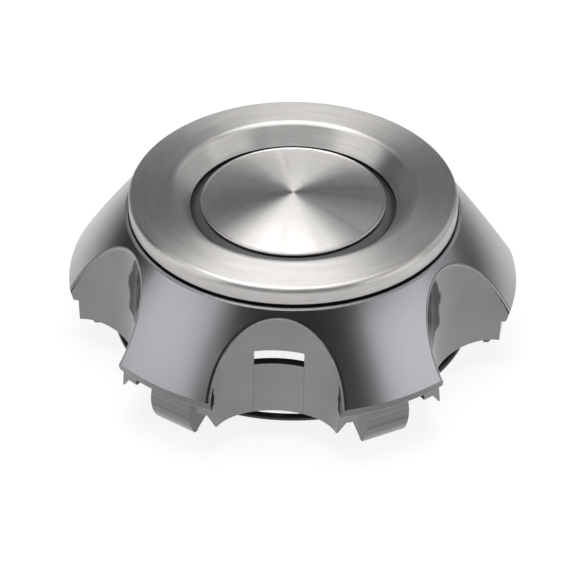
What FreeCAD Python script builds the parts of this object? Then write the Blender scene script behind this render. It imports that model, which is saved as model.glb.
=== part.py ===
# Wheel centre cap for a six-bolt wheel, in millimetres with +Z up.
# The origin is on the wheel axis at the level of the clip feet, and the first lug pocket faces -Y.
import FreeCAD
import Part
import math
import os
import Sketcher

doc = FreeCAD.newDocument("wheel_centre_cap")
vector = FreeCAD.Vector

# Driving dimensions
sizes = [
    ("wall", 2.6),
    ("lugs", 6),
    ("skirt_top_radius", 50.1),
    ("skirt_bottom_radius", 68.15),
    ("skirt_arc_radius", 130),
    ("deck_height", 42.7),
    ("skirt_bottom_height", 19.3),
    ("lip_inset", 0.6),
    ("lip_round", 1.2),
    ("lip_height", 15.7),
    ("flange_inset", 2.35),
    ("web_foot", 12.5),
    ("web_sweep", 41),
    ("wall_foot", 0.5),
    ("pocket_wall_height", 9.1),
    ("seat_radius", 27.9),
    ("seat_foot_radius", 30),
    ("seat_rise", 1.45),
    ("pocket_centre_radius", 67.1),
    ("pocket_depth_low", 12.3),
    ("pocket_width_low", 35.8),
    ("pocket_depth_high", 15.5),
    ("pocket_width_high", 43.6),
    ("pocket_edge_radius", 1.2),
    ("slot_width", 14.4),
    ("slot_height", 4.5),
    ("slot_floor", 25.3),
    ("slot_count", 3),
    ("tab_width", 13.8),
    ("tab_rib", 1.4),
    ("tab_setback", 5.65),
    ("tab_foot_setback", 1.7),
    ("tab_foot_width", 1.6),
    ("tab_snap", 0.9),
    ("tab_snap_height", 8.2),
    ("tab_snap_rise", 4.4),
    ("tab_snap_round", 14),
    ("tab_thickness", 2.0),
    ("rib_depth", 9.9),
    ("rib_lead", 0.9),
    ("rib_shoulder_rise", 4),
    ("rib_shoulder_run", 4.4),
    ("wire_seat", 1.5),
    ("wire_height", 6.1),
    ("wire_diameter", 2.1),
    ("wire_sweep", 352),
    ("boss_radius", 12),
    ("stiffener", 1.6),
    ("stiffener_drop", 3.5),
    ("tape", 1.0),
    ("tape_inset", 0.6),
    ("disc_tape", 0.5),
    ("ring_outer_radius", 49.15),
    ("ring_inner_radius", 36),
    ("ring_foot_radius", 30.9),
    ("ring_height", 5.7),
    ("ring_slope", 0.5),
    ("ring_edge_radius", 1.6),
    ("ring_skin", 1.6),
    ("ring_crest_radius", 2.2),
    ("disc_radius", 27.75),
    ("disc_rim", 0.9),
    ("disc_rise", 3.3),
]
dim = doc.addObject("Spreadsheet::Sheet", "dim")
for row, (name, value) in enumerate(sizes, 1):
    dim.set("A%d" % row, name)
    dim.set("B%d" % row, str(value))
    dim.setAlias("B%d" % row, name)
doc.recompute()


def body(label):
    item = doc.addObject("PartDesign::Body", label)
    item.Label = label
    return item


def plane(owner, role):
    return [part for part in owner.Origin.OriginFeatures if part.Role == role][0]


def new_sketch(owner, name, role, height=None):
    sketch = owner.newObject("Sketcher::SketchObject", name)
    sketch.AttachmentSupport = [(plane(owner, role), "")]
    sketch.MapMode = "FlatFace"
    if height:
        sketch.setExpression("AttachmentOffset.Base.z", height)
    return sketch


def amount(sketch, formula):
    return float(sketch.evalExpression(formula))


def fix(sketch, kind, places, formula):
    index = sketch.addConstraint(Sketcher.Constraint(kind, *places, amount(sketch, formula)))
    sketch.setExpression("Constraints[%d]" % index, formula)


def place(sketch, edge, end, across, up):
    if across == "0":
        sketch.addConstraint(Sketcher.Constraint("PointOnObject", edge, end, -2))
    else:
        fix(sketch, "DistanceX", (-1, 1, edge, end), across)
    if up == "0":
        sketch.addConstraint(Sketcher.Constraint("PointOnObject", edge, end, -1))
    else:
        fix(sketch, "DistanceY", (-1, 1, edge, end), up)


# A closed outline through corners, each held at its own distances from the two axes.
# An arc takes the place of the edge after a corner where arcs names its radius and turn,
# and for a half circle also how far its centre is from the wheel axis.
def outline(sketch, corners, arcs=None):
    arcs = arcs or {}
    points = [vector(amount(sketch, across), amount(sketch, up), 0) for across, up in corners]
    ends = []
    for n, start in enumerate(points):
        stop = points[(n + 1) % len(points)]
        if n in arcs:
            radius, turn = arcs[n][:2]
            edge, order = arc_edge(start, stop, amount(sketch, radius), turn)
            ends.append(order)
        else:
            edge = Part.LineSegment(start, stop)
            ends.append((1, 2))
        sketch.addGeometry(edge)
    for n, corner in enumerate(corners):
        before = (n - 1) % len(corners)
        joint = Sketcher.Constraint("Coincident", before, ends[before][1], n, ends[n][0])
        sketch.addConstraint(joint)
        place(sketch, n, ends[n][0], *corner)
    for n, (radius, turn, *middle) in arcs.items():
        if middle:
            fix(sketch, "DistanceX", (-1, 1, n, 3), middle[0])
        else:
            fix(sketch, "Radius", (n,), radius)


# The circle edge between two points, turning left (1) or right (-1) on the way.
def arc_edge(start, stop, radius, turn):
    chord = stop - start
    rise = math.sqrt(max(radius ** 2 - (chord.Length / 2) ** 2, 0))
    side = vector(-chord.y, chord.x, 0).normalize() * (rise * turn)
    centre = (start + stop) * 0.5 + side
    low, high = (start, stop) if turn > 0 else (stop, start)
    a = math.atan2(low.y - centre.y, low.x - centre.x)
    b = math.atan2(high.y - centre.y, high.x - centre.x)
    circle = Part.Circle(centre, vector(0, 0, 1), radius)
    return Part.ArcOfCircle(circle, a, b), (1, 2) if turn > 0 else (2, 1)


def pad(owner, name, sketch, length, both=False):
    feature = owner.newObject("PartDesign::Pad", name)
    feature.Profile = sketch
    feature.setExpression("Length", length)
    feature.Midplane = both
    return feature


def revolve(owner, name, sketch, kind="PartDesign::Revolution"):
    feature = owner.newObject(kind, name)
    feature.Profile = sketch
    feature.ReferenceAxis = (sketch, ["V_Axis"])
    feature.Angle = 360
    return feature


def around(owner, name, features, count="dim.lugs"):
    owner.Tip = features[-1]
    pattern = owner.newObject("PartDesign::PolarPattern", name)
    pattern.Originals = features
    pattern.Axis = (plane(owner, "Z_Axis"), [""])
    pattern.Angle = 360
    pattern.setExpression("Occurrences", count)
    owner.Tip = pattern
    return pattern


# An upright well at -Y: half an ellipse towards the axis, open outwards between straight sides.
# The mould draft makes it wider at the top than at the foot.
# Each level names its height and how far the well is set back from the face of the pocket wall.
well_low = "(dim.pocket_wall_height - dim.wall)"
well_high = "(dim.deck_height + dim.wall)"


def well(owner, name, levels):
    span = "(dim.deck_height - dim.pocket_wall_height)"
    rungs = []
    for number, (height, offset) in enumerate(levels, 1):
        sketch = new_sketch(owner, "%s_%d" % (name, number), "XY_Plane", height)
        share = "(%s - dim.pocket_wall_height) / %s" % (height, span)
        widths = (share, "pocket_width_high", "pocket_width_low", "pocket_width_low")
        depths = (share, "pocket_depth_high", "pocket_depth_low", "pocket_depth_low")
        wide = "%s * (dim.%s - dim.%s) + dim.%s + 2 * %s" % (widths + (offset,))
        deep = "2 * (%s * (dim.%s - dim.%s) + dim.%s + %s)" % (depths + (offset,))
        centre = vector(0, -amount(sketch, "dim.pocket_centre_radius"), 0)
        half_wide = amount(sketch, wide) / 2
        half_deep = amount(sketch, deep) / 2
        east, west = centre + vector(half_wide, 0, 0), centre - vector(half_wide, 0, 0)
        ellipse = Part.Ellipse(east, centre + vector(0, half_deep, 0), centre)
        mouth = vector(0, -half_wide, 0)
        sketch.addGeometry(Part.ArcOfEllipse(ellipse, 0, math.pi))
        sketch.addGeometry(Part.LineSegment(west, west + mouth))
        sketch.addGeometry(Part.LineSegment(west + mouth, east + mouth))
        sketch.addGeometry(Part.LineSegment(east + mouth, east))
        for edge, end, other, start in ((0, 2, 1, 1), (1, 2, 2, 1), (2, 2, 3, 1), (3, 2, 0, 1)):
            sketch.addConstraint(Sketcher.Constraint("Coincident", edge, end, other, start))
        sketch.exposeInternalGeometry(0)
        sketch.addConstraint(Sketcher.Constraint("Horizontal", 4))
        sketch.addConstraint(Sketcher.Constraint("PointOnObject", 0, 3, -2))
        for edge, kind in ((1, "Vertical"), (2, "Horizontal"), (3, "Vertical")):
            sketch.addConstraint(Sketcher.Constraint(kind, edge))
        fix(sketch, "DistanceY", (0, 3, -1, 1), "dim.pocket_centre_radius")
        fix(sketch, "DistanceY", (0, 1, -1, 1), "dim.pocket_centre_radius")
        fix(sketch, "DistanceY", (0, 2, -1, 1), "dim.pocket_centre_radius")
        fix(sketch, "Distance", (1,), "dim.pocket_width_high / 2")
        fix(sketch, "Distance", (4,), wide)
        fix(sketch, "Distance", (5,), deep)
        rungs.append(sketch)
    cut = owner.newObject("PartDesign::SubtractiveLoft", name)
    cut.Profile = rungs[0]
    cut.Sections = rungs[1:]
    cut.Ruled = True
    return cut


# Formulas for the skirt arc: its centre, and the height or radius of the arc set in by some depth
run = "(dim.skirt_bottom_radius - dim.skirt_top_radius)"
drop = "(dim.deck_height - dim.skirt_bottom_height)"
chord = "sqrt(%s ^ 2 + %s ^ 2)" % (run, drop)
reach = "sqrt(dim.skirt_arc_radius ^ 2 - (%s / 2) ^ 2)" % chord
arc_across = "((dim.skirt_top_radius + dim.skirt_bottom_radius) / 2 - %s * %s / %s)" % (reach, drop, chord)
arc_up = "((dim.deck_height + dim.skirt_bottom_height) / 2 - %s * %s / %s)" % (reach, run, chord)


def skirt_height(radius, depth):
    terms = (arc_up, depth, radius, arc_across)
    return "%s + sqrt((dim.skirt_arc_radius - %s) ^ 2 - (%s - %s) ^ 2)" % terms


def skirt_radius(height, depth):
    terms = (arc_across, depth, height, arc_up)
    return "%s + sqrt((dim.skirt_arc_radius - %s) ^ 2 - (%s - %s) ^ 2)" % terms


# Hollow of the cap: everything inside the skirt and under the deck, less the backs of the six pockets
hollow = body("hollow")
sketch = new_sketch(hollow, "hollow_outline", "XZ_Plane")
deck_under = "(dim.deck_height - dim.wall)"
seat_under = "(dim.deck_height + dim.seat_rise - dim.wall)"
skirt_inside = "(dim.skirt_bottom_radius - dim.wall)"
flange_radius = "(dim.skirt_bottom_radius - dim.flange_inset)"
hollow_foot = "(dim.pocket_wall_height - dim.wall / 2)"
clear_of_flange = "(%s + dim.lip_inset / 3)" % flange_radius
wall_taper = "(dim.wall - dim.wall_foot) / (dim.web_foot - dim.pocket_wall_height)"
taper_start = "(dim.wall_foot - dim.wall * %s)" % wall_taper
outline(
    sketch,
    [
        ("0", hollow_foot),
        (clear_of_flange, hollow_foot),
        (clear_of_flange, "dim.lip_height"),
        (skirt_inside, "dim.lip_height"),
        (skirt_inside, skirt_height(skirt_inside, "dim.wall")),
        (skirt_radius(deck_under, "dim.wall"), deck_under),
        ("dim.seat_foot_radius - dim.wall * 0.6", deck_under),
        ("dim.seat_radius - dim.wall * 0.6", seat_under),
        ("0", seat_under),
    ],
    {4: ("dim.skirt_arc_radius - dim.wall", 1)},
)
revolve(hollow, "hollow_turned", sketch)
levels = [(well_low, taper_start), ("dim.web_foot", "dim.wall"), (well_high, "dim.wall")]
around(hollow, "hollow_wells", [well(hollow, "well_back", levels)])

# Beside each pocket a short web carries the wall's foot on towards the clip tabs
sketch = new_sketch(hollow, "web_outline", "YZ_Plane")
outline(
    sketch,
    [
        ("-" + clear_of_flange, "dim.web_foot"),
        ("-%s + dim.wall" % flange_radius, "dim.web_foot"),
        ("-%s + dim.wall" % flange_radius, "dim.lip_height"),
        ("-" + clear_of_flange, "dim.lip_height"),
    ],
)
web = revolve(hollow, "web_room", sketch, "PartDesign::Groove")
web.setExpression("Angle", "dim.web_sweep")
web.Midplane = True
around(hollow, "web_rooms", [web])

# Cap body: one moulding of deck, flared skirt with six legs and six lug pockets
cap = body("cap_body")
sketch = new_sketch(cap, "cap_outline", "XZ_Plane")
outline(
    sketch,
    [
        ("0", "dim.pocket_wall_height"),
        (flange_radius, "dim.pocket_wall_height"),
        (flange_radius, "dim.lip_height"),
        (skirt_radius("dim.lip_height", "0"), "dim.lip_height"),
        ("dim.skirt_top_radius", "dim.deck_height"),
        ("dim.seat_foot_radius", "dim.deck_height"),
        ("dim.seat_radius", "dim.deck_height + dim.seat_rise"),
        ("0", "dim.deck_height + dim.seat_rise"),
    ],
    {3: ("dim.skirt_arc_radius", 1)},
)
revolve(cap, "cap_turned", sketch)
wells = around(cap, "cap_wells", [well(cap, "well_front", [(well_low, "0"), (well_high, "0")])])
doc.recompute()

# Rounded edge where each pocket breaks through the skirt, and around the top of the skirt
close = 0.1
arches = []
for number, edge in enumerate(wells.Shape.Edges, 1):
    kinds = [type(face.Surface).__name__ for face in wells.Shape.ancestorsOfType(edge, Part.Face)]
    skirt_edge = len(kinds) == 2 and kinds.count("SurfaceOfRevolution") == 1
    if skirt_edge and edge.BoundBox.ZMax > dim.lip_height + close:
        arches.append("Edge%d" % number)
edging = cap.newObject("PartDesign::Fillet", "pocket_edges")
edging.Base = (wells, arches)
edging.setExpression("Radius", "dim.pocket_edge_radius")
cap.Tip = edging

# Unpainted lip: a band under the crease that draws in a little towards its foot
sketch = new_sketch(cap, "lip_outline", "XZ_Plane")
lip_radius = "dim.skirt_bottom_radius - dim.lip_inset"
beyond = "dim.skirt_bottom_radius + 3 * dim.wall"
outline(
    sketch,
    [
        ("dim.skirt_bottom_radius", "dim.skirt_bottom_height"),
        (lip_radius, "dim.lip_height + dim.lip_round"),
        (lip_radius + " - dim.lip_round", "dim.lip_height"),
        (lip_radius + " - dim.lip_round", "dim.lip_height - dim.lip_inset"),
        (beyond, "dim.lip_height - dim.lip_inset"),
        (beyond, "dim.skirt_bottom_height"),
    ],
    {1: ("dim.lip_round", -1)},
)
lip = revolve(cap, "lip_cut", sketch, "PartDesign::Groove")
cap.Tip = lip
shell = cap.newObject("PartDesign::Boolean", "cap_hollowed")
shell.Type = "Cut"
shell.setObjects([hollow])
cap.Tip = shell

# Pry slots through every second pocket wall
slot_back = "dim.pocket_centre_radius - dim.pocket_depth_high - 2 * dim.wall"
sketch = new_sketch(cap, "slot_outline", "XZ_Plane", slot_back)
outline(
    sketch,
    [
        ("-dim.slot_width / 2", "dim.slot_floor"),
        ("dim.slot_width / 2", "dim.slot_floor"),
        ("dim.slot_width / 2", "dim.slot_floor + dim.slot_height"),
        ("-dim.slot_width / 2", "dim.slot_floor + dim.slot_height"),
    ],
)
slot = cap.newObject("PartDesign::Pocket", "slot_cut")
slot.Profile = sketch
slot.setExpression("Length", "dim.pocket_depth_high + 2 * dim.wall")
slot.Reversed = True
around(cap, "slots", [slot], "dim.slot_count")

# Stiffening under the deck: a round boss and a rib from it to the back of each pocket
sketch = new_sketch(cap, "boss_outline", "XZ_Plane")
stiffener_top = seat_under + " + dim.stiffener / 8"
stiffener_foot = "(dim.deck_height - dim.wall - dim.stiffener_drop)"
outline(
    sketch,
    [
        ("dim.boss_radius - dim.stiffener", stiffener_foot),
        ("dim.boss_radius", stiffener_foot),
        ("dim.boss_radius", stiffener_top),
        ("dim.boss_radius - dim.stiffener", stiffener_top),
    ],
)
revolve(cap, "boss", sketch)
sketch = new_sketch(cap, "stiffener_outline", "YZ_Plane")
pocket_back = "-(dim.pocket_centre_radius - dim.pocket_depth_high - dim.wall / 2)"
outline(
    sketch,
    [
        (pocket_back, stiffener_foot),
        ("-dim.boss_radius + dim.stiffener / 2", stiffener_foot),
        ("-dim.boss_radius + dim.stiffener / 2", stiffener_top),
        (pocket_back, stiffener_top),
    ],
)
stiffener = pad(cap, "stiffener_rib", sketch, "dim.stiffener", True)
around(cap, "stiffener_ribs", [stiffener])

# Clip tabs of the same moulding, one under each leg, as a body that ends on the inside of the skirt.
# Each is a plate that bulges outwards to its snap, with a radial rib at both ends, notched for the wire.
tabs = body("clip_tabs")
face = "(dim.skirt_bottom_radius - dim.tab_setback)"
back = "(%s - dim.tab_thickness)" % face
foot_outer = "(%s - dim.tab_foot_setback)" % face
foot_inner = "(%s - dim.tab_foot_width)" % foot_outer
sketch = new_sketch(tabs, "tab_outline", "XZ_Plane")
outline(
    sketch,
    [
        (foot_inner, "0"),
        (foot_outer, "0"),
        (face + " + dim.tab_snap", "dim.tab_snap_height"),
        (face, "dim.tab_snap_height + dim.tab_snap_rise"),
        (face, skirt_height(face, "dim.wall / 2")),
        (back, skirt_height(back, "dim.wall / 2")),
        (back, "dim.tab_snap_height"),
    ],
    {1: ("dim.tab_snap_round", 1), 2: ("dim.tab_snap_round", 1)},
)
tab = pad(tabs, "tab_plate", sketch, "dim.tab_width", True)
around(tabs, "tab_plates", [tab])
half_wire = "dim.wire_diameter / 2"
rib_face = "(%s - dim.tab_thickness * 0.35)" % face
rib_inner = "(%s - dim.rib_depth)" % face
rib_top = "(%s + dim.rib_shoulder_run)" % rib_inner
wire_radius = "(%s + dim.wire_seat)" % rib_inner
for side, offset in (("left", "dim.tab_width / 2 - dim.tab_rib"), ("right", "-dim.tab_width / 2")):
    sketch = new_sketch(tabs, "rib_%s_outline" % side, "XZ_Plane", offset)
    outline(
        sketch,
        [
            (rib_inner, "dim.wire_height - %s - dim.rib_lead" % half_wire),
            (foot_inner + " + dim.tab_rib * 0.3", "dim.tab_rib * 0.2"),
            (rib_face, "dim.tab_snap_height"),
            (rib_face, skirt_height(rib_face, "dim.wall / 2")),
            (rib_top, skirt_height(rib_top, "dim.wall / 2")),
            (rib_inner, "dim.wire_height + %s + dim.rib_shoulder_rise" % half_wire),
            (rib_inner, "dim.wire_height + %s" % half_wire),
            (wire_radius, "dim.wire_height + %s" % half_wire),
            (wire_radius, "dim.wire_height - %s" % half_wire),
            (rib_inner, "dim.wire_height - %s" % half_wire),
        ],
        {7: (half_wire, -1, wire_radius)},
    )
    rib = pad(tabs, "rib_%s" % side, sketch, "dim.tab_rib")
    around(tabs, "ribs_%s" % side, [rib])
sketch = new_sketch(tabs, "tab_top_outline", "XZ_Plane")
outline(
    sketch,
    [
        (skirt_inside, skirt_height(skirt_inside, "dim.wall")),
        (rib_inner, skirt_height(rib_inner, "dim.wall")),
        (rib_inner, "dim.deck_height"),
        (skirt_inside, "dim.deck_height"),
    ],
    {0: ("dim.skirt_arc_radius - dim.wall", 1)},
)
tabs.Tip = revolve(tabs, "tab_tops", sketch, "PartDesign::Groove")

# Black foam tape between the deck and the trim ring
ring_tape = body("ring_tape")
sketch = new_sketch(ring_tape, "ring_tape_outline", "XZ_Plane")
tape_top = "(dim.deck_height + dim.tape)"
outline(
    sketch,
    [
        ("dim.ring_foot_radius", "dim.deck_height"),
        ("dim.ring_outer_radius - dim.tape_inset", "dim.deck_height"),
        ("dim.ring_outer_radius - dim.tape_inset", tape_top),
        ("dim.ring_foot_radius", tape_top),
    ],
)
revolve(ring_tape, "ring_tape_turned", sketch)

# Trim ring: pressed metal channel with a rounded outer edge and a long inner bevel
ring = body("trim_ring")
sketch = new_sketch(ring, "ring_outline", "XZ_Plane")
ring_top = "(dim.deck_height + dim.tape + dim.ring_height)"
ring_out = "dim.ring_outer_radius"
ring_low = "(dim.deck_height + dim.tape + dim.ring_height - dim.ring_slope)"
edge_skin = "dim.ring_skin * 1.4"
bevel_skin = "dim.ring_skin * 1.5"
outline(
    sketch,
    [
        (ring_out + " - dim.ring_skin", tape_top),
        (ring_out, tape_top),
        (ring_out, ring_low + " - dim.ring_edge_radius"),
        (ring_out + " - dim.ring_edge_radius", ring_low),
        ("dim.ring_inner_radius", ring_top),
        ("dim.ring_foot_radius", tape_top),
        ("dim.ring_foot_radius + " + bevel_skin, tape_top),
        ("dim.ring_inner_radius + dim.ring_skin / 2", ring_top + " - dim.ring_skin"),
        (ring_out + " - " + edge_skin, ring_low + " - dim.ring_skin"),
        (ring_out + " - dim.ring_skin", ring_low + " - " + edge_skin),
    ],
    {2: ("dim.ring_edge_radius", 1)},
)
pressed = revolve(ring, "ring_turned", sketch)
doc.recompute()
crest = amount(sketch, ring_top) - close
crests = []
for number, edge in enumerate(pressed.Shape.Edges, 1):
    if edge.BoundBox.ZMin > crest:
        crests.append("Edge%d" % number)
rounding = ring.newObject("PartDesign::Fillet", "ring_crest")
rounding.Base = (pressed, crests)
rounding.setExpression("Radius", "dim.ring_crest_radius")
ring.Tip = rounding

# Black tape between the raised seat and the centre disc
disc_tape = body("disc_tape")
seat_top = "(dim.deck_height + dim.seat_rise)"
disc_foot = "(dim.deck_height + dim.seat_rise + dim.disc_tape)"
sketch = new_sketch(disc_tape, "disc_tape_outline", "XZ_Plane")
outline(
    sketch,
    [
        ("0", seat_top),
        ("dim.disc_radius - dim.tape_inset", seat_top),
        ("dim.disc_radius - dim.tape_inset", disc_foot),
        ("0", disc_foot),
    ],
)
revolve(disc_tape, "disc_tape_turned", sketch)

# Centre disc: shallow spun dome with a rolled rim
disc = body("centre_disc")
sketch = new_sketch(disc, "disc_outline", "XZ_Plane")
rim = "dim.disc_rim / 2"
dome_edge = "(dim.disc_radius - dim.disc_rim)"
dome_step = "dim.disc_rim * 0.8"
dome_foot = "(%s + %s)" % (disc_foot, dome_step)
dome_height = "(dim.disc_rise - %s)" % dome_step
dome_round = "(%s ^ 2 + %s ^ 2) / (2 * %s)" % (dome_edge, dome_height, dome_height)
outline(
    sketch,
    [
        ("0", disc_foot),
        ("dim.disc_radius - %s" % rim, disc_foot),
        ("dim.disc_radius - %s" % rim, disc_foot + " + dim.disc_rim"),
        (dome_edge, dome_foot),
        ("0", disc_foot + " + dim.disc_rise"),
    ],
    {1: (rim, 1, "dim.disc_radius - dim.disc_rim / 2"), 3: (dome_round, 1)},
)
revolve(disc, "disc_turned", sketch)

# Spring wire ring that sits in the rib notches and pushes the clip tabs outwards, open at the back
wire = body("spring_wire")
sketch = new_sketch(wire, "wire_outline", "XZ_Plane")
centre = vector(amount(sketch, wire_radius), float(dim.wire_height), 0)
sketch.addGeometry(Part.Circle(centre, vector(0, 0, 1), float(dim.wire_diameter) / 2))
place(sketch, 0, 3, wire_radius, "dim.wire_height")
fix(sketch, "Radius", (0,), "dim.wire_diameter / 2")
coil = revolve(wire, "wire_turned", sketch)
coil.setExpression("Angle", "dim.wire_sweep")
wire.setExpression("Placement.Rotation.Angle", "90 + (360 - dim.wire_sweep) / 2")

# Check and export
doc.recompute()
faults = [item.Name for item in doc.Objects if "Invalid" in item.State or "Error" in item.State]
if faults:
    raise SystemExit("features that failed: " + ", ".join(faults))
os.makedirs("parts", exist_ok=True)
for node in (cap, tabs, ring_tape, ring, disc_tape, disc, wire):
    shape = node.Shape
    solids = int(dim.lugs) if node is tabs else 1
    if shape.isNull() or not shape.isValid() or len(shape.Solids) != solids:
        raise SystemExit("a solid is missing or faulty: " + node.Label)
    shape.exportStep("parts/%s.step" % node.Label)
    box = shape.optimalBoundingBox()
    corners = (box.XMin, box.YMin, box.ZMin, box.XMax, box.YMax, box.ZMax)
    print(node.Label, round(shape.Volume), [round(value, 2) for value in corners])
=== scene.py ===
import math

import bpy
from mathutils import Matrix, Quaternion, Vector

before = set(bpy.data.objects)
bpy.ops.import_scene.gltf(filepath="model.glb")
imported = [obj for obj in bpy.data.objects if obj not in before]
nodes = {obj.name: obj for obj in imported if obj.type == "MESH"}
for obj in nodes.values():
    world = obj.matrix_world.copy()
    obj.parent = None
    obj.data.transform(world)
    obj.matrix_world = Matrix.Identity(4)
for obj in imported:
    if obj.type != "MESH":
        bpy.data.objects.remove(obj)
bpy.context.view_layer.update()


# ---- Cap body ----
# One glossy moulding in graphite plastic: deck, skirt with six legs, pocket walls and lip.
# The skirt is sprayed with a fine metallic paint from the crease up, and the rest stays as moulded.

def add(tree, kind, **settings):
    made = tree.nodes.new(kind)
    for name, value in settings.items():
        setattr(made, name, value)
    return made


# A socket takes either a link from another socket or a plain value.
def put(tree, socket, value):
    if isinstance(value, bpy.types.NodeSocket):
        tree.links.new(value, socket)
    else:
        socket.default_value = value


def feed(tree, made, **values):
    for name, value in values.items():
        put(tree, made.inputs[name.replace("_", " ")], value)
    return made


def maths(tree, operation, *values):
    made = add(tree, "ShaderNodeMath", operation=operation)
    for socket, value in zip(made.inputs, values):
        put(tree, socket, value)
    return made.outputs[0]


def vector_maths(tree, operation, *values):
    made = add(tree, "ShaderNodeVectorMath", operation=operation)
    for socket, value in zip(made.inputs, values):
        put(tree, socket, value)
    return made


def blend_colour(tree, share, low, high):
    made = add(tree, "ShaderNodeMix", data_type="RGBA")
    for socket, value in ((made.inputs[0], share), (made.inputs[6], low), (made.inputs[7], high)):
        put(tree, socket, value)
    return made.outputs[2]


def rescale(tree, value, low, high, to_low, to_high):
    made = add(tree, "ShaderNodeMapRange")
    for socket, number in zip(made.inputs, (value, low, high, to_low, to_high)):
        put(tree, socket, number)
    return made.outputs[0]


# Masks that are 1 above, or below, a level, with a short blend on either side of it
def above(tree, value, level, blur):
    return rescale(tree, value, level - blur, level + blur, 0, 1)


def below(tree, value, level, blur):
    return rescale(tree, value, level - blur, level + blur, 1, 0)


def all_of(tree, *shares):
    result = shares[0]
    for share in shares[1:]:
        result = maths(tree, "MULTIPLY", result, share)
    return result


def most_of(tree, *shares):
    result = shares[0]
    for share in shares[1:]:
        result = maths(tree, "MAXIMUM", result, share)
    return result


def new_group(name, inputs, outputs):
    tree = bpy.data.node_groups.new(name, "ShaderNodeTree")
    for label, kind, value in inputs:
        socket = tree.interface.new_socket(label, in_out="INPUT", socket_type=kind)
        if value is not None:
            socket.default_value = value
    for label, kind in outputs:
        tree.interface.new_socket(label, in_out="OUTPUT", socket_type=kind)
    return tree, add(tree, "NodeGroupInput"), add(tree, "NodeGroupOutput")


def use_group(tree, group, **values):
    return feed(tree, add(tree, "ShaderNodeGroup", node_tree=group), **values)


def new_material(name):
    material = bpy.data.materials.new(name)
    material.use_nodes = True
    tree = material.node_tree
    tree.nodes.clear()
    shader = add(tree, "ShaderNodeBsdfPrincipled")
    output = add(tree, "ShaderNodeOutputMaterial")
    tree.links.new(shader.outputs[0], output.inputs["Surface"])
    place = add(tree, "ShaderNodeTexCoord").outputs["Object"]
    return material, tree, shader, place


def rough_skin(tree, shader, height, strength, distance):
    bump = feed(tree, add(tree, "ShaderNodeBump"), Height=height, Strength=strength, Distance=distance)
    tree.links.new(bump.outputs[0], shader.inputs["Normal"])


def dress(node, material):
    for slot in nodes[node].material_slots:
        slot.material = material


# Round places: how far a point is from the wheel axis, and the direction away from that axis
tree, inside, outside = new_group(
    "round_place",
    [("Place", "NodeSocketVector", None)],
    [("Radius", "NodeSocketFloat"), ("Height", "NodeSocketFloat"), ("Outward", "NodeSocketVector")],
)
flat = vector_maths(tree, "MULTIPLY", inside.outputs["Place"], (1, 1, 0))
length = vector_maths(tree, "LENGTH", flat.outputs[0])
unit = vector_maths(tree, "NORMALIZE", flat.outputs[0])
split = feed(tree, add(tree, "ShaderNodeSeparateXYZ"), Vector=inside.outputs["Place"])
tree.links.new(length.outputs["Value"], outside.inputs["Radius"])
tree.links.new(split.outputs["Z"], outside.inputs["Height"])
tree.links.new(unit.outputs[0], outside.inputs["Outward"])
round_place = tree

# Soft unevenness that a polished or sprayed surface shows: a slow mottling and a fine grain
tree, inside, outside = new_group(
    "surface_grain",
    [
        ("Place", "NodeSocketVector", None),
        ("Mottle Size", "NodeSocketFloat", 40),
        ("Grain Size", "NodeSocketFloat", 2500),
    ],
    [("Mottle", "NodeSocketFloat"), ("Grain", "NodeSocketFloat")],
)
for label, detail in (("Mottle", 3), ("Grain", 2)):
    noise = add(tree, "ShaderNodeTexNoise")
    size = inside.outputs[label + " Size"]
    feed(tree, noise, Detail=detail, Vector=inside.outputs["Place"], Scale=size)
    tree.links.new(noise.outputs["Fac"], outside.inputs[label])
surface_grain = tree

# Masks along an edge of the moulding blend over this much on either side of it.
edge_blur = 0.0001
sharp_blur = 0.00005

# The painted face is the skirt's arc from the crease up: it is told from the pocket walls by its distance
# from the arc's centre, and from the lip by its height.
arc_across, arc_up, arc_radius = -0.04314, -0.047885, 0.130
paint_depth = 0.0004
crease_height = 0.0193
lip_radius, lip_blur = 0.06675, 0.00025
lip_turn, flank_turn, turn_blur = 0.9, 0.25, 0.05

# The deck is told from the skirt by how level it is. The seat under the disc lies inside seat_radius.
deck_foot, seat_foot, seat_radius = 0.0413, 0.04255, 0.02995
deck_level, deck_blur = 0.76, 0.02
ledge_level, ledge_blur = 0.925, 0.025

slot_azimuths = (0, 120, 240)
slot_floor, ledge_top = 0.0253, 0.02555
seam_offset, seam_half_width, seam_reach = 0.0072, 0.00015, 0.0455
seam_reach_blur = 0.0005


# Below each pry slot two fine seams run down the pocket wall.
def slide_seams(tree, place, height):
    lines = []
    for azimuth in slot_azimuths:
        turn = math.radians(azimuth)
        sideways = vector_maths(tree, "DOT_PRODUCT", place, (math.cos(turn), math.sin(turn), 0))
        ahead = vector_maths(tree, "DOT_PRODUCT", place, (math.sin(turn), -math.cos(turn), 0))
        off = maths(tree, "SUBTRACT", maths(tree, "ABSOLUTE", sideways.outputs["Value"]), seam_offset)
        line = below(tree, maths(tree, "ABSOLUTE", off), seam_half_width, sharp_blur)
        in_front = above(tree, ahead.outputs["Value"], seam_reach, seam_reach_blur)
        lines.append(all_of(tree, line, in_front))
    return all_of(tree, most_of(tree, *lines), below(tree, height, slot_floor - edge_blur, edge_blur))


paint_dark, paint_light = (0.335, 0.33, 0.35, 1), (0.36, 0.355, 0.375, 1)
plain_dark, plain_light = (0.208, 0.208, 0.214, 1), (0.247, 0.247, 0.254, 1)
# The seam colour marks the mould seams. shade_colour is the colour that painted shade darkens towards.
seam_colour, shade_colour = (0.05, 0.05, 0.05, 1), (0.05, 0.05, 0.052, 1)
seam_strength, seat_shade = 0.25, 0.35
plain_roughness, paint_roughness, shaded_spot_roughness, unevenness = 0.09, 0.29, 0.5, 0.01
coat_weight, coat_roughness = 0.3, 0.12
plain_metallic, paint_metallic = 0.92, 1.0
band_scale, band_middle, band_blur = 520.0, 0.51, 0.09
middle_grey, grain_reach = 0.5, 0.2
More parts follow.
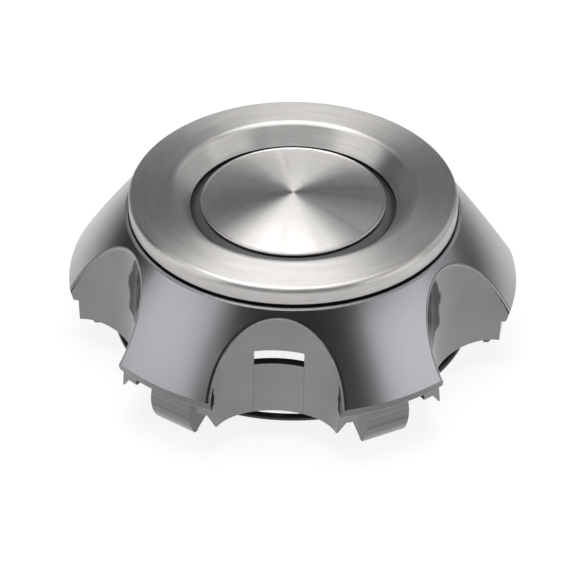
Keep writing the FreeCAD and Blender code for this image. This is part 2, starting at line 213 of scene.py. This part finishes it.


# The shades say how strongly painted shade darkens the ribs' flanks, the level bands and the lip against
# the polished faces.
def moulding(name, rib_shade, band_shade, lip_shade):
    material, tree, shader, place = new_material(name)
    polar = use_group(tree, round_place, Place=place)
    radius, height = polar.outputs["Radius"], polar.outputs["Height"]
    normal = add(tree, "ShaderNodeNewGeometry").outputs["True Normal"]
    facing = feed(tree, add(tree, "ShaderNodeSeparateXYZ"), Vector=normal).outputs["Z"]
    outward = vector_maths(tree, "DOT_PRODUCT", normal, polar.outputs["Outward"]).outputs["Value"]

    across = maths(tree, "SUBTRACT", radius, arc_across)
    up = maths(tree, "SUBTRACT", height, arc_up)
    squares = maths(tree, "ADD", maths(tree, "MULTIPLY", across, across), maths(tree, "MULTIPLY", up, up))
    on_arc = above(tree, maths(tree, "SQRT", squares), arc_radius - paint_depth, edge_blur)
    painted = all_of(tree, on_arc, above(tree, height, crease_height, edge_blur))

    # Painted shade: the deck under the ring, which takes in the ring's inner foot and the skirt's top
    # edge, and the floors of the pry slots are darkened. The seat is matt and darkened a little by painted
    # shade.
    deck = all_of(
        tree,
        above(tree, facing, deck_level, deck_blur),
        above(tree, height, deck_foot, edge_blur),
        above(tree, radius, seat_radius, sharp_blur),
    )
    seat = all_of(
        tree,
        below(tree, radius, seat_radius, sharp_blur),
        above(tree, height, seat_foot, sharp_blur),
    )
    ledge = all_of(
        tree,
        above(tree, facing, ledge_level, ledge_blur),
        below(tree, height, ledge_top, sharp_blur),
    )
    shaded_spots = most_of(tree, deck, ledge, maths(tree, "MULTIPLY", seat, seat_shade))

    # Painted shade also falls on faces that turn sideways (the ribs' flanks), on the lip's upright band
    # below the crease and in faint level bands.
    flank = below(tree, maths(tree, "ABSOLUTE", outward), flank_turn, turn_blur)
    lip = all_of(
        tree,
        above(tree, outward, lip_turn, turn_blur),
        above(tree, radius, lip_radius, lip_blur),
        below(tree, height, crease_height, edge_blur),
    )
    level = feed(tree, add(tree, "ShaderNodeCombineXYZ"), Z=height)
    noise = add(tree, "ShaderNodeTexNoise")
    feed(tree, noise, Vector=level.outputs[0], Scale=band_scale, Detail=1.0)
    bands = above(tree, noise.outputs["Fac"], band_middle, band_blur)

    grain = use_group(tree, surface_grain, Place=place, Mottle_Size=55.0, Grain_Size=2600.0)
    fine = above(tree, grain.outputs["Grain"], middle_grey, grain_reach)
    slow = above(tree, grain.outputs["Mottle"], middle_grey, grain_reach)
    paint = blend_colour(tree, fine, paint_dark, paint_light)
    plain = blend_colour(tree, slow, plain_dark, plain_light)
    seams = maths(tree, "MULTIPLY", slide_seams(tree, place, height), seam_strength)
    plain = blend_colour(tree, seams, plain, seam_colour)
    # All painted shade together darkens the plain moulding towards shade_colour.
    dark = most_of(
        tree,
        shaded_spots,
        maths(tree, "MULTIPLY", lip, lip_shade),
        maths(tree, "MULTIPLY", flank, rib_shade),
        maths(tree, "MULTIPLY", bands, band_shade),
    )
    plain = blend_colour(tree, dark, plain, shade_colour)
    tree.links.new(blend_colour(tree, painted, plain, paint), shader.inputs["Base Color"])

    glossy = rescale(tree, painted, 0, 1, plain_roughness, paint_roughness)
    matt = maths(tree, "MULTIPLY", most_of(tree, shaded_spots, seat), shaded_spot_roughness)
    uneven = rescale(tree, slow, 0, 1, -unevenness, unevenness)
    roughness = maths(tree, "ADD", most_of(tree, glossy, matt), uneven)
    tree.links.new(roughness, shader.inputs["Roughness"])
    tree.links.new(maths(tree, "MULTIPLY", painted, coat_weight), shader.inputs["Coat Weight"])
    shader.inputs["Coat Roughness"].default_value = coat_roughness
    metallic = rescale(tree, painted, 0, 1, plain_metallic, paint_metallic)
    tree.links.new(metallic, shader.inputs["Metallic"])
    rough_skin(tree, shader, grain.outputs["Grain"], strength=0.02, distance=0.00002)
    return material


dress("cap_body", moulding("graphite_moulding", rib_shade=0, band_shade=0, lip_shade=0.42))


# ---- Clip tabs ----
# Six springing tabs of the same plastic, moulded in one with the cap and left unpainted.
# Their ribs' flanks carry painted shade, and faint bands of painted shade cross their bulged faces.

dress("clip_tabs", moulding("graphite_tabs", rib_shade=0.5, band_shade=0.4, lip_shade=0))


# ---- Tapes ----
# Black foam tape, die cut, which fixes the trim ring to the deck and the disc to its seat.
# Only its edge shows, as the dark line under each metal piece.

foam_dark, foam_light = (0.004, 0.004, 0.004, 1), (0.012, 0.012, 0.012, 1)
foam_smooth, foam_rough = 0.75, 0.95
material, tree, shader, place = new_material("foam_tape")
grain = use_group(tree, surface_grain, Place=place, Mottle_Size=300.0, Grain_Size=3000.0)
foam = blend_colour(tree, grain.outputs["Grain"], foam_dark, foam_light)
tree.links.new(foam, shader.inputs["Base Color"])
roughness = rescale(tree, grain.outputs["Mottle"], 0.2, 0.8, foam_smooth, foam_rough)
tree.links.new(roughness, shader.inputs["Roughness"])
rough_skin(tree, shader, grain.outputs["Grain"], strength=0.5, distance=0.0001)
dress("ring_tape", material)
dress("disc_tape", material)


# ---- Trim ring ----
# Pressed metal ring, brushed round its axis and stuck down on its tape. The brushing leaves fine lines
# along the circle, so light is drawn out across them into broad fans.

tree, inside, outside = new_group(
    "brush_lines",
    [("Place", "NodeSocketVector", None), ("Fineness", "NodeSocketFloat", 4000)],
    [("Lines", "NodeSocketFloat"), ("Bands", "NodeSocketFloat"), ("Rays", "NodeSocketFloat")],
)
polar = use_group(tree, round_place, Place=inside.outputs["Place"])
depth = maths(tree, "ADD", polar.outputs["Radius"], polar.outputs["Height"])
turn = feed(tree, add(tree, "ShaderNodeSeparateXYZ"), Vector=polar.outputs["Outward"])
# Each kind of line has its fineness across the brushing and its wander along it. Rays only wander.
for label, fineness, wander in (("Lines", 1.0, 5.0), ("Bands", 0.12, 2.0), ("Rays", 0.0, 7.0)):
    step = maths(tree, "MULTIPLY", inside.outputs["Fineness"], fineness)
    spot = feed(
        tree,
        add(tree, "ShaderNodeCombineXYZ"),
        X=maths(tree, "MULTIPLY", depth, step),
        Y=maths(tree, "MULTIPLY", turn.outputs["X"], wander),
        Z=maths(tree, "MULTIPLY", turn.outputs["Y"], wander),
    )
    noise = feed(tree, add(tree, "ShaderNodeTexNoise"), Scale=1, Detail=3, Vector=spot.outputs[0])
    tree.links.new(noise.outputs["Fac"], outside.inputs[label])
brush_lines = tree

line_share, band_share = 0.6, 0.4
brush_reach = 0.15
brush_roughness, band_unevenness = 0.40, 0.01


# Spread is how far light is drawn out across the lines, and rays how much the lines' finish varies round.
def brushed(name, dark, light, spread, rays):
    material, tree, shader, place = new_material(name)
    polar = use_group(tree, round_place, Place=place)
    brush = use_group(tree, brush_lines, Place=place, Fineness=5000.0)
    lines = maths(tree, "MULTIPLY", brush.outputs["Lines"], line_share)
    mixed = maths(tree, "ADD", lines, maths(tree, "MULTIPLY", brush.outputs["Bands"], band_share))
    metal = blend_colour(tree, above(tree, mixed, middle_grey, brush_reach), dark, light)
    tree.links.new(metal, shader.inputs["Base Color"])
    smooth, rough = brush_roughness - band_unevenness, brush_roughness + band_unevenness
    banded = rescale(tree, brush.outputs["Bands"], 0.3, 0.7, smooth, rough)
    rayed = rescale(tree, brush.outputs["Rays"], 0.35, 0.65, -rays, rays)
    tree.links.new(maths(tree, "ADD", banded, rayed), shader.inputs["Roughness"])
    tree.links.new(polar.outputs["Outward"], shader.inputs["Tangent"])
    shader.inputs["Metallic"].default_value = 1
    shader.inputs["Anisotropic"].default_value = spread
    rough_skin(tree, shader, brush.outputs["Lines"], strength=0.1, distance=0.00002)
    return material


ring_dark, ring_light = (0.575, 0.559, 0.543, 1), (0.705, 0.688, 0.67, 1)
dress("trim_ring", brushed("brushed_ring", ring_dark, ring_light, spread=0.85, rays=0.01))


# ---- Centre disc ----
# Spun metal disc, a shallow dome with a rolled rim, stuck down on its tape. It is turned in fine circles,
# so the light gathers into bright fans from its middle.

disc_dark, disc_light = (0.60, 0.585, 0.570, 1), (0.67, 0.655, 0.640, 1)
dress("centre_disc", brushed("spun_disc", disc_dark, disc_light, spread=0.87, rays=0.04))


# ---- Spring wire ----
# Hard-drawn steel wire bent to an open ring, with a thin black coating. It is sprung into the notches
# of the clip tabs' ribs and pushes the tabs outwards.

wire_dark, wire_light = (0.008, 0.008, 0.009, 1), (0.02, 0.02, 0.021, 1)
wire_smooth, wire_rough = 0.3, 0.42
material, tree, shader, place = new_material("black_wire")
grain = use_group(tree, surface_grain, Place=place, Mottle_Size=200.0, Grain_Size=4000.0)
coating = blend_colour(tree, grain.outputs["Mottle"], wire_dark, wire_light)
tree.links.new(coating, shader.inputs["Base Color"])
roughness = rescale(tree, grain.outputs["Grain"], 0.3, 0.7, wire_smooth, wire_rough)
tree.links.new(roughness, shader.inputs["Roughness"])
shader.inputs["IOR"].default_value = 1.5
dress("spring_wire", material)


# ---- Floor and light ----
# White table, lit by a large softbox overhead, one at each side of the camera and two dim reflectors.
# The table shows white to the camera and keeps a faint shadow. In the gloss it carries a painted pool of
# light that fades with distance.

floor_size = 12
matt_white, faint_grey = (0.8, 0.8, 0.8, 1), (0.2, 0.2, 0.2, 1)
fade_start, fade_end, fade_share = 0.14, 0.45, 0.4
table_glow = 0.87

bpy.ops.object.select_all(action="DESELECT")
bpy.ops.mesh.primitive_plane_add(size=floor_size, location=(0, 0, 0))
floor = bpy.context.object
floor.name = "floor"
material = bpy.data.materials.new("white_table")
material.use_nodes = True
tree = material.node_tree
tree.nodes.clear()
rays = add(tree, "ShaderNodeLightPath")
seen = most_of(tree, rays.outputs["Is Camera Ray"], rays.outputs["Is Glossy Ray"])
place = add(tree, "ShaderNodeTexCoord").outputs["Object"]
polar = use_group(tree, round_place, Place=place)
# Painted pool of light: the table's glow in the gloss fades away from the cap.
light_pool = rescale(tree, polar.outputs["Radius"], fade_start, fade_end, 1, fade_share)
glow = maths(tree, "MULTIPLY", most_of(tree, rays.outputs["Is Camera Ray"], light_pool), table_glow)
matt = feed(tree, add(tree, "ShaderNodeBsdfDiffuse"), Color=matt_white)
faint = feed(tree, add(tree, "ShaderNodeBsdfDiffuse"), Color=faint_grey)
white = feed(tree, add(tree, "ShaderNodeEmission"), Strength=glow)
both = add(tree, "ShaderNodeAddShader")
tree.links.new(faint.outputs[0], both.inputs[0])
tree.links.new(white.outputs[0], both.inputs[1])
choice = feed(tree, add(tree, "ShaderNodeMixShader"), Fac=seen)
tree.links.new(matt.outputs[0], choice.inputs[1])
tree.links.new(both.outputs[0], choice.inputs[2])
output = add(tree, "ShaderNodeOutputMaterial")
tree.links.new(choice.outputs[0], output.inputs["Surface"])
floor.data.materials.append(material)


# Angles are in degrees. The roll turns a panel about its own axis, so that its front edge slopes.
def softbox(name, azimuth, elevation, distance, size, strength, roll=0):
    a, e = math.radians(azimuth), math.radians(elevation)
    away = Vector((math.sin(a) * math.cos(e), -math.cos(a) * math.cos(e), math.sin(e)))
    lamp = bpy.data.lights.new(name, "AREA")
    lamp.shape = "RECTANGLE"
    lamp.size, lamp.size_y = size
    lamp.energy = strength * math.pi * size[0] * size[1]
    item = bpy.data.objects.new(name, lamp)
    item.location = away * distance
    item.rotation_mode = "QUATERNION"
    item.rotation_quaternion = away.to_track_quat("Z", "Y") @ Quaternion((0, 0, 1), math.radians(roll))
    item.visible_camera = False
    bpy.context.scene.collection.objects.link(item)


softbox("softbox_top", 199, 79, distance=1.5, size=(1.15, 1.22), strength=3.75, roll=-19)
softbox("softbox_left", -67, 26, distance=1.5, size=(1.2, 1.1), strength=1.36, roll=14)
softbox("softbox_right", 71, 22, distance=1.5, size=(1.2, 0.96), strength=1.52, roll=-14)
softbox("reflector_right", 122, 33, distance=1.5, size=(1.2, 1.0), strength=0.7)
softbox("reflector_back", 180, 30, distance=1.6, size=(4, 1.6), strength=0.15)

room_light = 0.02
world = bpy.data.worlds.new("studio")
bpy.context.scene.world = world
world.use_nodes = True
world.node_tree.nodes["Background"].inputs["Color"].default_value = (1, 1, 1, 1)
world.node_tree.nodes["Background"].inputs["Strength"].default_value = room_light


# ---- Camera ----
# A long lens, a little to the right of the front pocket, looking down on the cap.
# It aims slightly beside and below the point it circles, and leans a little.

azimuth, elevation, distance = math.radians(3.9), math.radians(36.08), 0.6966
pan, dip, lean = math.radians(0.142), math.radians(1.35), math.radians(0.37)
middle = Vector((0, 0, 0.0326))
ground = math.cos(elevation)
back = Vector((math.sin(azimuth) * ground, -math.cos(azimuth) * ground, math.sin(elevation)))
lens = bpy.data.cameras.new("camera")
lens.sensor_width = 36
lens.lens = 144
lens.clip_start = 0.01
camera = bpy.data.objects.new("camera", lens)
camera.location = middle + back * distance
heading = Matrix.Rotation(azimuth + pan, 4, "Z")
tilt = Matrix.Rotation(math.pi / 2 - elevation - dip, 4, "X")
roll = Matrix.Rotation(lean, 4, "Z")
camera.rotation_euler = (heading @ tilt @ roll).to_euler()
bpy.context.scene.collection.objects.link(camera)
bpy.context.scene.camera = camera
bpy.context.scene.view_settings.view_transform = "Standard"
